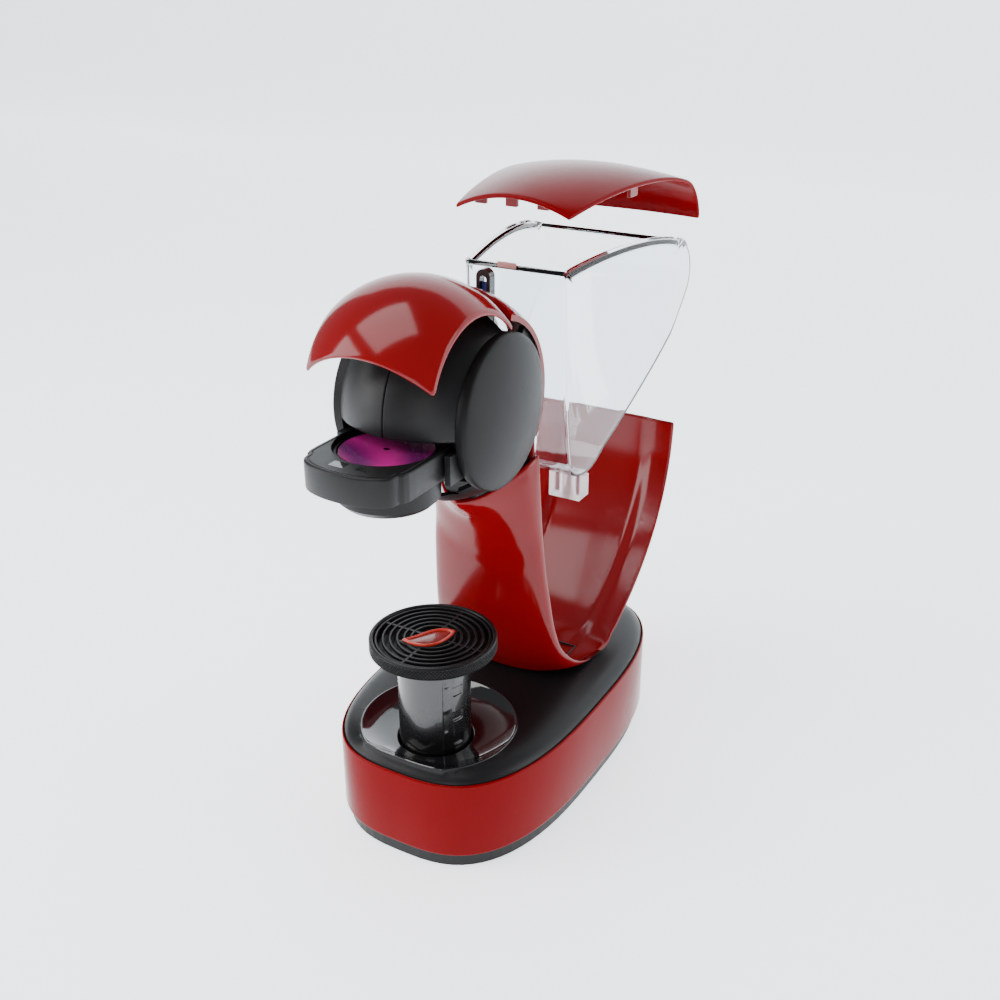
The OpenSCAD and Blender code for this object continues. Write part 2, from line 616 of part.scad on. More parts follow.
module thermoblock()
    color([0.75, 0.76, 0.78]) union() {
        span([-26, -46, 266], [26, -34, 299]);
        for (i = [0:4]) span([-24 + 10 * i, -47, 270], [-20 + 10 * i, -46, 296]);
        y_rod(4, -34, -28, [-14, 290]);
    }
module thermostat()
    color([0.2, 0.2, 0.22]) union() {
        y_rod(7, -34, -29, [12, 282]);
        for (x = [8, 14]) span([x, -29, 281], [x + 2, -24, 283]);
    }
module flow_meter()
    color([0.90, 0.90, 0.86]) difference() {
        union() {
            z_rod(13, 30, 46, [27, 62]);
            span([8, 58, 36], [16, 66, 42]);
        }
        z_rod(10, 33, 43.4, [27, 62]);
        x_rod(2, 5, 20, [62, 39]);
    }
module flow_rotor()
    color([0.25, 0.35, 0.75]) translate([27, 62, 33.6]) union() {
        cylinder(r = 2.4, h = 9.2);
        for (a = [0:60:300]) rotate(a) span([0, -0.6, 0.8], [9, 0.6, 8.2]);
    }
module control_board()
    color([0.10, 0.35, 0.20]) union() {
        span([-10, 80, 12], [48, 110, 13.6]);
        for (x = [2, 25]) span([x, 86, 13.6], [x + 14, 102, 24]);
        for (x = [-5, 44]) for (y = [84, 104]) z_rod(2, floor_t, 12.4, [x, y]);
    }
hose_a = [[27, 30, 57.5], [27, 30, 52], [27, 34, 48], [24, 42, 46.4], [10, 48, 44], [2, 55, 40], [3, 61, 39],
    [7.5, 62, 39]];
hose_b = [[-31, 25.7, 30], [-31, 20, 30], [-28, 12, 33], [-19, 7, 42], [-9, 6, 54], [-5, 6, 66], [-4.5, 4, 80],
    [-4, -5.6, 100], [-4, -12.4, 112], [-3, -16.4, 130], [-2, -23, 165], [-1, -25, 200], [0, -24, 232],
    [-3, -24.4, 250], [-10, -25, 268], [-14, -25.6, 282], [-14, -25.6, 290]];
module suction_hose()
    color([0.85, 0.85, 0.85]) tube(hose_a, 2.4, 8, [0.2, 0.3, 1]);
module riser_hose()
    color([0.85, 0.85, 0.85]) tube(hose_b, 2, 8);

base_plate();
rubber_feet();
base_screws();
base_band();
base_deck();
drip_bowl();
cord_inlet();
drip_column();
drip_cup();
drip_grid();
drip_float();
body_shell();
neck_cover();
neck_collar();
head_chassis();
chassis_screws();
side_disc_left();
side_disc_right();
head_drum();
head_underside();
rear_cover();
visor();
visor_bracket();
visor_axle();
injector_frame();
injector();
injector_seal();
injector_springs();
pod_drawer();
pod_cup();
pod_shell();
pod_foil();
selector_valve();
selector_lever();
selector_mark();
power_button();
button_ring();
water_tank();
tank_foot();
tank_valve();
tank_clip();
tank_lid();
dock_socket();
water_pump();
pump_mounts();
thermoblock();
thermostat();
flow_meter();
flow_rotor();
control_board();
suction_hose();
riser_hose();
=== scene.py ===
"""Looks of the pod coffee machine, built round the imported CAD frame."""
import math
import bmesh
import bpy
import numpy as np
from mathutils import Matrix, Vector


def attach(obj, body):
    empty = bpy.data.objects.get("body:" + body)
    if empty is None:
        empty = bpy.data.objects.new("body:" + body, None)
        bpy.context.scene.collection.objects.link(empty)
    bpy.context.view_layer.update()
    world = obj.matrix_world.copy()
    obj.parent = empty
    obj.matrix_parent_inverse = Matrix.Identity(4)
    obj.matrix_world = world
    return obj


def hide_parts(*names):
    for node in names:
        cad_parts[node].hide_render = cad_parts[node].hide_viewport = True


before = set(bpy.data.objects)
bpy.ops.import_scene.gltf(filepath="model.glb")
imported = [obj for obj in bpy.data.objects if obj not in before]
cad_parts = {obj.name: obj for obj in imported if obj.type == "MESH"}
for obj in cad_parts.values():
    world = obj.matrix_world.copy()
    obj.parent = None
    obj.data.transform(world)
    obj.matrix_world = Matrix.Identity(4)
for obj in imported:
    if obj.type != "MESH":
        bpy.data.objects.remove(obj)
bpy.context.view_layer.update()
# Places and lengths below are in millimetres unless a line says metres; MM takes them to metres.
MM = 0.001
HEAD = np.array([0, -73.4, 291.7])      # middle of the head's ball
OPEN = np.array([0, -97.95, 306.08])    # middle of the visor's ball while it is lifted
LIFT = 32.5                             # how far the visor is turned up, in degrees
STAND_Y = -88.0                         # axis of the drip stand
STAND = np.array([0, STAND_Y])


# ---------------------------------------------------------------- materials
GRAIN_DEPTH = 0.0002    # metres
MARK_Z = 344.0          # height at which the lever's mark changes colour


def material(name, color, rough, coat=0.0, metal=0.0, bump=0.0, scale=900.0, vary=0.05, tint=0.06,
             transmission=0.0, ior=1.5):
    """A plastic or metal whose colour and roughness drift a little, with a fine grain where bump is set."""
    m = bpy.data.materials.new(name)
    m.use_nodes = True
    t = m.node_tree
    b = t.nodes["Principled BSDF"]
    b.inputs["Metallic"].default_value = metal
    b.inputs["IOR"].default_value = ior
    b.inputs["Transmission Weight"].default_value = transmission
    b.inputs["Coat Weight"].default_value = coat
    b.inputs["Coat Roughness"].default_value = 0.03
    co = t.nodes.new("ShaderNodeTexCoord")
    big = t.nodes.new("ShaderNodeTexNoise")
    big.inputs["Scale"].default_value = scale * 0.06
    big.inputs["Detail"].default_value = 4.0
    t.links.new(co.outputs["Object"], big.inputs["Vector"])
    span = t.nodes.new("ShaderNodeMapRange")
    span.inputs["To Min"].default_value = max(rough - vary, 0.0)
    span.inputs["To Max"].default_value = rough + vary
    t.links.new(big.outputs["Fac"], span.inputs["Value"])
    t.links.new(span.outputs["Result"], b.inputs["Roughness"])
    mix = t.nodes.new("ShaderNodeMix")
    mix.data_type = "RGBA"
    mix.inputs["A"].default_value = (*[c * (1 - tint) for c in color], 1)
    mix.inputs["B"].default_value = (*[min(c * (1 + tint), 1) for c in color], 1)
    t.links.new(big.outputs["Fac"], mix.inputs["Factor"])
    t.links.new(mix.outputs["Result"], b.inputs["Base Color"])
    if bump:
        fine = t.nodes.new("ShaderNodeTexNoise")
        fine.inputs["Scale"].default_value = scale
        fine.inputs["Detail"].default_value = 6.0
        t.links.new(co.outputs["Object"], fine.inputs["Vector"])
        bp = t.nodes.new("ShaderNodeBump")
        bp.inputs["Strength"].default_value = bump
        bp.inputs["Distance"].default_value = GRAIN_DEPTH
        t.links.new(fine.outputs["Fac"], bp.inputs["Height"])
        t.links.new(bp.outputs["Normal"], b.inputs["Normal"])
        if coat:
            t.links.new(bp.outputs["Normal"], b.inputs["Coat Normal"])
    return m


RED = material("red gloss", (0.175, 0.0018, 0.0034), 0.13, bump=0.03, scale=260, vary=0.03, ior=1.36)
# A darker copy of the red gloss with a weaker reflection, for the band and the lid: painted shade.
RED_SHADED = material("shaded red", (0.160, 0.0016, 0.0032), 0.16, bump=0.03, scale=260, vary=0.03, ior=1.13)
SATIN = material("black satin", (0.0070, 0.0070, 0.0075), 0.38, bump=0.35, scale=2600, vary=0.06, ior=1.30)
# A darker copy of the black satin with a weaker reflection, for the side discs and the power button: painted shade.
SATIN_SHADED = material("shaded satin", (0.0065, 0.0065, 0.007), 0.40, bump=0.30, scale=2600, vary=0.04, ior=1.22)
BLACK = material("black gloss", (0.006, 0.006, 0.007), 0.07, coat=0.6, bump=0.03, scale=300, vary=0.03)
COLUMN = material("column black", (0.006, 0.006, 0.0065), 0.26, coat=0.5, bump=0.05, scale=500, vary=0.05)
RUBBER = material("rubber", (0.02, 0.02, 0.02), 0.75, bump=0.5, scale=1800)
REDRUBBER = material("red silicone", (0.35, 0.06, 0.04), 0.6, bump=0.3, scale=1500)
STEEL = material("steel", (0.60, 0.60, 0.61), 0.30, metal=1.0, bump=0.2, scale=1500)
ALU = material("cast aluminium", (0.68, 0.69, 0.70), 0.45, metal=1.0, bump=0.5, scale=1200)
BRASS = material("brass", (0.62, 0.44, 0.18), 0.35, metal=1.0, bump=0.2, scale=1200)
FROST = material("frosted foot", (0.90, 0.80, 0.82), 0.30, transmission=0.85, ior=1.40, vary=0.015)
CLEAR = material("clear tank", (0.93, 0.97, 1.0), 0.02, transmission=1.0, ior=1.49, vary=0.015, tint=0.01,
                 bump=0.02, scale=120)
POD = material("pod shell", (0.22, 0.015, 0.12), 0.4, bump=0.2, scale=1500)
FLOAT = material("float red", (0.62, 0.025, 0.010), 0.28, coat=0.4, bump=0.1, scale=800)
# A darker copy of the float red for the float's recessed centre: painted shade.
FLOAT_SHADED = material("float shaded", (0.20, 0.006, 0.004), 0.25, coat=0.4, bump=0.1, scale=800)
ROSE = material("rose clip", (0.55, 0.22, 0.20), 0.3, transmission=0.4, bump=0.1, scale=800)
RING = material("button ring", (0.75, 0.12, 0.05), 0.3, transmission=0.3, bump=0.1, scale=900)
GREY = material("filled grey", (0.16, 0.17, 0.18), 0.5, bump=0.4, scale=1800)
WHITE = material("natural white", (0.74, 0.74, 0.72), 0.45, bump=0.3, scale=1500)
BOARD = material("board", (0.02, 0.14, 0.05), 0.4, bump=0.2, scale=1500)
HOSE = material("hose", (0.72, 0.72, 0.70), 0.4, transmission=0.3, bump=0.2, scale=1200)


def foil_material():
    """The pod's foil: soft magenta rings that stand for its print."""
    m = material("pod foil", (0.25, 0.006, 0.13), 0.26, coat=0.5, bump=0.15, scale=700)
    t = m.node_tree
    b = t.nodes["Principled BSDF"]
    co = next(n for n in t.nodes if n.type == "TEX_COORD")
    wave = t.nodes.new("ShaderNodeTexWave")
    wave.wave_type = "RINGS"
    wave.rings_direction = "Z"
    wave.inputs["Scale"].default_value = 9.0
    wave.inputs["Distortion"].default_value = 1.5
    shift = t.nodes.new("ShaderNodeMapping")
    shift.inputs["Location"].default_value = (0.03, 0.175, 0)
    t.links.new(co.outputs["Object"], shift.inputs["Vector"])
    t.links.new(shift.outputs["Vector"], wave.inputs["Vector"])
    ramp = t.nodes.new("ShaderNodeValToRGB")
    ramp.color_ramp.elements[0].color = (0.12, 0.004, 0.10, 1)
    ramp.color_ramp.elements[1].color = (0.48, 0.012, 0.22, 1)
    t.links.new(wave.outputs["Fac"], ramp.inputs["Fac"])
    t.links.new(ramp.outputs["Color"], b.inputs["Base Color"])
    return m


def mark_material():
    """The lever's mark: red below, blue above."""
    m = material("hot cold mark", (0.6, 0.02, 0.03), 0.3, coat=0.4, bump=0.1)
    t = m.node_tree
    b = t.nodes["Principled BSDF"]
    co = next(n for n in t.nodes if n.type == "TEX_COORD")
    sep = t.nodes.new("ShaderNodeSeparateXYZ")
    t.links.new(co.outputs["Object"], sep.inputs["Vector"])
    half = t.nodes.new("ShaderNodeMapRange")
    half.inputs["From Min"].default_value = (MARK_Z - 0.5) * MM
    half.inputs["From Max"].default_value = (MARK_Z + 0.5) * MM
    t.links.new(sep.outputs["Z"], half.inputs["Value"])
    mix = t.nodes.new("ShaderNodeMix")
    mix.data_type = "RGBA"
    mix.inputs["A"].default_value = (0.62, 0.015, 0.03, 1)
    mix.inputs["B"].default_value = (0.03, 0.08, 0.35, 1)
    t.links.new(half.outputs["Result"], mix.inputs["Factor"])
    t.links.new(mix.outputs["Result"], b.inputs["Base Color"])
    return m


FOIL = foil_material()
MARK = mark_material()


# ---------------------------------------------------------------- mesh tools
ROUND = 384    # points round the base and the bowl
RAYS = np.linspace(0, 2 * np.pi, ROUND, endpoint=False)


def smooth(me, angle):
    """Shades a mesh smooth, with sharp edges where it turns by more than the angle."""
    me.polygons.foreach_set("use_smooth", [True] * len(me.polygons))
    me.set_sharp_from_angle(angle=math.radians(angle))


def piece(name, verts, faces, mat, body, slot, nodes=(), angle=38.0):
    """A mesh from points in millimetres that rides on a body and stands for the CAD nodes named."""
    name = name.replace(" ", "_")
    me = bpy.data.meshes.new(name)
    me.from_pydata((np.asarray(verts, float) * MM).tolist(), [], [tuple(int(i) for i in f) for f in faces])
    bm = bmesh.new()
    bm.from_mesh(me)
    bmesh.ops.remove_doubles(bm, verts=bm.verts, dist=2e-6)
    bmesh.ops.dissolve_degenerate(bm, edges=bm.edges, dist=1e-6)
    bmesh.ops.recalc_face_normals(bm, faces=bm.faces)
    bm.to_mesh(me)
    bm.free()
    smooth(me, angle)
    me.materials.append(mat)
    o = bpy.data.objects.new(name, me)
    bpy.context.scene.collection.objects.link(o)
    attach(o, body)
    if nodes:
        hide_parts(*nodes)
    return o


def quads(n, m, off=0, close_u=False, close_v=False):
    """Faces of an n by m grid of points."""
    out = []
    for i in range(n if close_u else n - 1):
        for j in range(m if close_v else m - 1):
            a, b = i * m + j, i * m + (j + 1) % m
            c, d = ((i + 1) % n) * m + (j + 1) % m, ((i + 1) % n) * m + j
            out.append((off + a, off + b, off + c, off + d))
    return out


def join(parts):
    """One list of points and faces from several."""
    v, f, k = [], [], 0
    for pv, pf in parts:
        pv = np.asarray(pv, float).reshape(-1, 3)
        v.append(pv)
        f += [tuple(k + i for i in face) for face in pf]
        k += len(pv)
    return np.vstack(v), f


def turned(profile, centre, n):
    """Points and faces of a closed profile of (radius, z) turned about an upright axis."""
    a = np.linspace(0, 2 * np.pi, n, endpoint=False)
    return np.vstack([ring(r, z, centre, a) for r, z in profile]), quads(len(profile), n, close_u=True, close_v=True)


def unit(v):
    """Vectors along the last axis made one long."""
    return v / np.maximum(np.linalg.norm(v, axis=-1, keepdims=True), 1e-9)


def normals(g):
    """Unit normals of a grid of points."""
    du, dv = np.gradient(g, axis=0), np.gradient(g, axis=1)
    return unit(np.cross(du, dv))


def slab(outer, inner, rounds=4):
    """A closed sheet between two grids of points, its four edges rounded."""
    n, m = outer.shape[:2]
    loop = [(0, j) for j in range(m - 1)] + [(i, m - 1) for i in range(n - 1)]
    loop += [(n - 1, j) for j in range(m - 1, 0, -1)] + [(i, 0) for i in range(n - 1, 0, -1)]
    verts = [outer.reshape(-1, 3), inner.reshape(-1, 3)]
    faces = quads(n, m) + [tuple(reversed(q)) for q in quads(n, m, off=n * m)]
    lo = np.array([outer[i, j] for i, j in loop])
    li = np.array([inner[i, j] for i, j in loop])
    out = np.zeros_like(lo)
    for k, (i, j) in enumerate(loop):
        # Away from the sheet: from the next point inwards to the point on the edge.
        if i in (0, n - 1):
            out[k] += unit(outer[i, j] - outer[1 if i == 0 else n - 2, j])
        if j in (0, m - 1):
            out[k] += unit(outer[i, j] - outer[i, 1 if j == 0 else m - 2])
    out = unit(out)
    mid, half = (lo + li) / 2, (lo - li) / 2
    size = np.linalg.norm(half, axis=1, keepdims=True)
    base, count = 2 * n * m, len(loop)
    loops = [[i * m + j for i, j in loop]]
    for r in range(1, rounds):
        f = math.pi * r / rounds
        verts.append(mid + half * math.cos(f) + out * size * math.sin(f))
        loops.append([base + (r - 1) * count + k for k in range(count)])
    loops.append([n * m + i * m + j for i, j in loop])
    for r in range(rounds):
        for k in range(count):
            faces.append((loops[r][k], loops[r + 1][k], loops[r + 1][(k + 1) % count], loops[r][(k + 1) % count]))
    return np.vstack(verts), faces


def ring(r, z, centre=(0, 0), angles=None):
    """Points at height z and radius r, one number or one per angle, round an upright axis."""
    a = RAYS if angles is None else angles
    return np.c_[centre[0] + r * np.cos(a), centre[1] + r * np.sin(a), np.full(len(a), z)]


def arc_half(n):
    """n numbers from -1 to 1, closer together towards the ends."""
    return np.sin(np.linspace(-np.pi / 2, np.pi / 2, n))


def oval(w, l, n=2.9, steps=256):
    """A superellipse w wide and l long."""
    a = np.linspace(0, 2 * np.pi, steps, endpoint=False)
    c, s = np.cos(a), np.sin(a)
    return np.stack([w / 2 * np.sign(c) * np.abs(c) ** (2 / n), l / 2 * np.sign(s) * np.abs(s) ** (2 / n)], 1)


def even(pts, n):
    """A closed outline resampled to n evenly spaced points."""
    p = np.vstack([pts, pts[:1]])
    d = np.r_[0, np.cumsum(np.linalg.norm(np.diff(p, axis=0), axis=1))]
    t = np.linspace(0, d[-1], n, endpoint=False)
    return np.stack([np.interp(t, d, p[:, k]) for k in range(p.shape[1])], 1)


def inset(pts, d):
    """A closed counter-clockwise outline moved inwards by d."""
    e = np.roll(pts, -1, 0) - np.roll(pts, 1, 0)
    n = np.stack([-e[:, 1], e[:, 0]], 1)
    return pts + d * n / np.linalg.norm(n, axis=1, keepdims=True)


def cube(lo, hi):
    """Points and faces of a plain box."""
    c = [(x, y, z) for x in (lo[0], hi[0]) for y in (lo[1], hi[1]) for z in (lo[2], hi[2])]
    return c, [(0, 1, 3, 2), (4, 6, 7, 5), (0, 4, 5, 1), (2, 3, 7, 6), (0, 2, 6, 4), (1, 5, 7, 3)]


def bevel(o, width):
    """Rounds an object's sharp edges."""
    b = o.modifiers.new("bevel", "BEVEL")
    b.width = width * MM
    b.segments = 3
    b.limit_method = "ANGLE"
    b.angle_limit = math.radians(35)


def smoothstep(x, a, b):
    """0 below a and 1 above b, with a soft step between them."""
    t = np.clip((x - a) / (b - a), 0, 1)
    return t * t * (3 - 2 * t)


# ---------------------------------------------------------------- base
BASE_W, BASE_L = 157.0, 271.0
DECK_Z = 71.4
outline = even(oval(BASE_W, BASE_L), ROUND)


def swept(profile):
    """Points of a profile of (inset, z) run round the base's outline."""
    return np.vstack([np.c_[inset(outline, d), np.full(ROUND, z)] for d, z in profile])


band = [(0.5, 10.2), (0.12, 10.6), (0, 11.4), (0, 62.8), (0.15, 63.6), (0.5, 64.2), (0.95, 64.4), (1.35, 64.1),
        (1.6, 63.4), (2.5, 60), (2.5, 10.2)]
# The band takes the darker copy of the red gloss: painted shade.
piece("band", swept(band), quads(len(band), ROUND, close_u=True, close_v=True), RED_SHADED, "base", "red_gloss",
      ["base_band"])

BOWL = np.array([0, -83.5])


def from_bowl(pts):
    """How far a closed outline is from the bowl's centre along each of the rays."""
    q = pts - BOWL
    a = np.mod(np.arctan2(q[:, 1], q[:, 0]), 2 * np.pi)
    k = np.argsort(a)
    return np.interp(RAYS, np.r_[a[k][-1] - 2 * np.pi, a[k], a[k][0] + 2 * np.pi],
                     np.r_[np.hypot(*q[k][-1]), np.hypot(*q[k].T), np.hypot(*q[k][0])])


# The rim is round, and cut flatter where the base is too narrow for it.
rim_r = np.minimum(51.6, from_bowl(inset(outline, 6.2)))
deck_rings = [(1.75, 58), (1.75, 63.6), (1.95, 64.5), (2.5, 65.5), (3.6, 66.8), (5.4, 68.3), (8, 69.7), (11, 70.6),
              (15, 71.15), (20, DECK_Z)]
hole = rim_r + 0.15
rows = []
for d, z in deck_rings:
    rows.append((np.maximum(from_bowl(inset(outline, d)), hole + 0.3), z))
# The flat top runs from the last ring to the bowl's edge, and then down inside it.
top_r = rows[-1][0]
rows += [(hole + (top_r - hole) * (1 - t), DECK_Z) for t in (0.15, 0.4, 0.7, 1.0)] + [(hole, 66.0)]
piece("deck", np.vstack([ring(r, z, BOWL) for r, z in rows]), quads(len(rows), ROUND, close_v=True), SATIN, "base",
      "black_satin", ["base_deck"])

plate = [(3.0, 10.4), (3.0, 9.9), (3.4, 9.6), (3.6, 9.0), (4.4, 2.6), (4.9, 1.3), (6.0, 0.7), (7.2, 0.6)]
underside = tuple(range((len(plate) - 1) * ROUND, len(plate) * ROUND))
piece("plate", swept(plate), quads(len(plate), ROUND, close_v=True) + [underside], SATIN, "base", "black_satin")

# The bowl: a rolled lip, a concave dish whose middle drifts to the stand's, and the socket that the column slides in.
DISH_TOP, DISH_LOW, SOCKET_R = 71.5, 64.4, 25.2
bowl_v = [ring(rim_r + d, z, BOWL) for d, z in ((0.1, 66), (0.1, 71.3), (-0.1, 71.75), (-0.6, 72.0), (-1.1, 71.9))]
for t in np.linspace(0, 1, 40):
    bowl_v.append(ring((rim_r - 1.6) * (1 - t) + SOCKET_R * t, DISH_LOW + (DISH_TOP - DISH_LOW) * (1 - t) ** 2.1,
                       BOWL * (1 - t) + STAND * t))
bowl_v += [ring(r, z, STAND) for r, z in ((24.7, 64.1), (24.4, 63.4), (24.3, 40), (26, 40))]
piece("bowl", np.vstack(bowl_v), quads(len(bowl_v), ROUND, close_v=True), BLACK, "base", "black_gloss", ["drip_bowl"])

# ---------------------------------------------------------------- drip stand
CUP_TOP = 139.4
CUP_LOW = 131.1
CUP_R = 40.5
COLUMN_R = 23.4
GROOVE_DEPTH = 1.1
POCKETS = (73, 91, 109)    # heights of the stops


def column():
    """A tube with two upright grooves, each with three side pockets."""
    a = np.linspace(0, 2 * np.pi, 720, endpoint=False)
    z = np.linspace(57, CUP_LOW + 0.3, 300)
    A, Z = np.meshgrid(a, z)
    d = np.zeros_like(A)
    for centre in (-35.0, 145.0):
        off = ((A - math.radians(centre) + np.pi) % (2 * np.pi) - np.pi) * COLUMN_R
        groove = smoothstep(4.2 - np.abs(off), 0, 0.9) * smoothstep(CUP_LOW - 3 - Z, 0, 1)
        d = np.maximum(d, groove)
        for h in POCKETS:
            pocket = smoothstep(4.6 - np.abs(off - 6.5), 0, 0.9) * smoothstep(3.6 - np.abs(Z - h), 0, 0.9)
            d = np.maximum(d, pocket)
            d -= 0.5 * np.exp(-((np.hypot(off + 1.5, Z - h - 6) / 2.2) ** 2)) * groove
    r = COLUMN_R - GROOVE_DEPTH * d
    v = np.stack([r * np.cos(A), STAND_Y + r * np.sin(A), Z], -1)
    return v.reshape(-1, 3), quads(300, 720, close_v=True)


piece("column", *column(), COLUMN, "drip_stand", "black_gloss", ["drip_column"], angle=60)


def knurled_cup():
    """The cup, with a diamond knurl of 110 teeth round its rim."""
    n, rows_k = 880, 30
    a = np.linspace(0, 2 * np.pi, n, endpoint=False)
    z = np.linspace(CUP_LOW + 0.9, CUP_TOP - 0.9, rows_k)
    A, Z = np.meshgrid(a, z)
    u = A / (2 * np.pi) * 110
    v = (Z - z[0]) / 2.35
    h = np.maximum(*[np.abs((x % 1) - 0.5) * 2 for x in (u + v, u - v)])
    edge = smoothstep(Z, z[0], z[0] + 0.4) * smoothstep(-Z, -z[-1], -z[-1] + 0.4)
    r = CUP_R - 0.75 * smoothstep(h, 0.45, 1.0) * edge
    rim = np.stack([r * np.cos(A), STAND_Y + r * np.sin(A), Z], -1).reshape(-1, 3)
    low = [(0.01, CUP_LOW), (38.9, CUP_LOW), (39.8, CUP_LOW + 0.3), (40.3, CUP_LOW + 0.8)]
    top = [(40.3, CUP_TOP - 0.8), (40.0, CUP_TOP - 0.3), (39.4, CUP_TOP), (38.4, CUP_TOP), (37.9, CUP_TOP - 0.3),
           (37.6, CUP_TOP - 0.9), (37.5, CUP_LOW + 2.2), (0.01, CUP_LOW + 2.2)]
    rings = [ring(*p, STAND, a) for p in low] + [rim] + [ring(*p, STAND, a) for p in top]
    return np.vstack(rings), quads(len(low) + rows_k + len(top), n, close_v=True)


piece("cup", *knurled_cup(), SATIN, "drip_stand", "black_satin", ["drip_cup"], angle=25)


def cubic(p, t):
    """Where a Bezier curve of four points is at t."""
    p = np.asarray(p, float)
    return p[0] * (1 - t) ** 3 + 3 * p[1] * t * (1 - t) ** 2 + 3 * p[2] * t * t * (1 - t) + p[3] * t ** 3


def bezier(p, n):
    """n points along a Bezier curve, without its end."""
    return cubic(p, np.linspace(0, 1, n, endpoint=False)[:, None])


def leaf_outline(k=1.0):
    """The float's flame shape about the stand's axis, drawn larger or smaller about its middle."""
    middle = np.array([1, -3])
    p = np.vstack([bezier([(-14.6, -14), (2, -19), (13, -9), (9.5, 12)], 40),
                   bezier([(9.5, 12), (-6, 14), (-7, -6), (-14.6, -14)], 40)])
    return STAND + middle + (p - middle) * k


def prism(pts, z0, z1, r):
    """An upright prism with softened edges, from a counter-clockwise outline."""
    rings = [(r, z0), (0, z0 + r), (0, z1 - r), (r * 0.3, z1 - r * 0.3), (r, z1)]
    v = np.vstack([np.c_[inset(pts, d), np.full(len(pts), z)] for d, z in rings])
    m = len(pts)
    f = quads(len(rings), m, close_v=True) + [tuple(range(m)), tuple(range((len(rings) - 1) * m, len(rings) * m))]
    return v, f


def grid_parts():
    """Six rings, two crossed spokes and the plate that the float sits in."""
    parts = []
    for r in np.arange(36.9, 14, -4.5):
        prof = [(r, CUP_TOP - 2.8), (r, CUP_TOP - 1.2), (r - 0.3, CUP_TOP - 0.9), (r - 1.3, CUP_TOP - 0.9),
                (r - 1.6, CUP_TOP - 1.2), (r - 1.6, CUP_TOP - 2.8)]
        parts.append(turned(prof, STAND, 160))
    for x, y in ((36, 0.8), (0.8, 36)):
        parts.append(cube((-x, STAND_Y - y, CUP_TOP - 2.8), (x, STAND_Y + y, CUP_TOP - 1.15)))
    parts.append(prism(leaf_outline(1.14), CUP_TOP - 2.8, CUP_TOP - 1.0, 0.3))
    return join(parts)


piece("grid", *grid_parts(), SATIN, "grid", "black_satin", ["drip_grid"])
rim_v = []
for d, h in ((0, -1.3), (0, -0.1), (0.25, 0.2), (0.8, 0.35), (1.5, 0.2), (1.8, -0.6)):
    edge = leaf_outline(0.97 - d / 12)
    rim_v.append(np.c_[edge, np.full(len(edge), CUP_TOP + h)])
piece("leaf rim", np.vstack(rim_v), quads(len(rim_v), len(edge), close_v=True), FLOAT, "float", "red_plastic",
      ["drip_float"], angle=60)
# The float's recessed centre takes the darker copy of the float red: painted shade.
piece("leaf centre", *prism(leaf_outline(0.86), CUP_TOP - 1.4, CUP_TOP - 0.5, 0.2), FLOAT_SHADED, "float",
      "red_plastic")


# ---------------------------------------------------------------- body
# Stations of the ribbon: half width, edge y, edge z, centre y, centre z, corner exponent, rear share.
stations = np.array([
    (35.0, -15.3, 241, -58.0, 218.0, 1.30, 0), (35.5, -15.6, 236.5, -56.0, 214.6, 1.25, 0),
    (36.0, -16.0, 231.0, -51.5, 210.8, 1.12, 0), (36.7, -16.4, 222, -45.5, 205.6, 0.96, 0),
    (37.6, -16.8, 212, -40.6, 199.5, 0.85, 0), (38.5, -17.0, 201, -36.6, 190.5, 0.77, 0),
    (39.5, -17.0, 188, -31.3, 174.0, 0.72, 0),
    (41.0, -16.9, 172, -29.0, 162.0, 0.72, 0), (42.3, -15.4, 155, -26.5, 149.0, 0.72, 0),
    (43.7, -13.3, 140, -24.0, 136.5, 0.72, 0), (45.2, -10.8, 122, -20.5, 120.0, 0.72, 0),
    (46.8, -7.3, 108, -16.7, 106.0, 0.73, 0), (48.2, -3.2, 98, -13.3, 94.5, 0.74, 0),
    (49.8, 2.8, 90, -10.0, 85.0, 0.76, 0), (51.2, 10.2, 83, -6.8, 77.5, 0.80, 0.0),
    (52.8, 19.0, 77.5, -3.2, 71.6, 0.84, 0.05), (54.0, 29.0, 74.2, 8.0, 71.5, 0.86, 0.2),
    (54.5, 40.0, 73.2, 26.0, 71.5, 0.86, 0.5), (54.6, 52.0, 74.0, 44.0, 71.5, 0.8, 0.8),
    (54.6, 64.0, 77.3, 62.5, 73.0, 0.7, 1), (54.6, 76.5, 83.2, 79.3, 78.3, 0.6, 1),
    (54.6, 95.6, 95.0, 99.6, 90.0, 0.6, 1), (54.6, 113.0, 108.5, 117.6, 104.0, 0.6, 1),
    (54.6, 128.4, 124.0, 133.2, 120.4, 0.6, 1), (54.6, 141.4, 142.0, 146.0, 139.8, 0.6, 1),
    (54.6, 151.4, 162.0, 155.4, 160.9, 0.6, 1), (54.6, 158.1, 184.5, 160.9, 184.2, 0.6, 1),
    (54.6, 161.0, 208.4, 162.4, 208.4, 0.6, 1)])


def spline(rows_in, n):
    """Catmull-Rom run through the rows, n even steps."""
    d = np.r_[0, np.cumsum(np.linalg.norm(np.diff(rows_in[:, 1:3], axis=0), axis=1))]
    out = []
    for t in np.linspace(0, d[-1], n):
        i = min(np.searchsorted(d, t, side="right") - 1, len(d) - 2)
        f = (t - d[i]) / (d[i + 1] - d[i])
        p = [rows_in[max(i - 1, 0)], rows_in[i], rows_in[i + 1], rows_in[min(i + 2, len(d) - 1)]]
        out.append(0.5 * (2 * p[1] + (p[2] - p[0]) * f + (2 * p[0] - 5 * p[1] + 4 * p[2] - p[3]) * f * f
                          + (3 * p[1] - p[0] - 3 * p[2] + p[3]) * f ** 3))
    return np.array(out)


st = spline(stations, 170)
tau = np.linspace(0, 1, 56)
u_half = 1 - (1 - tau) ** 2.4
u = np.r_[-u_half[::-1], u_half[1:]]


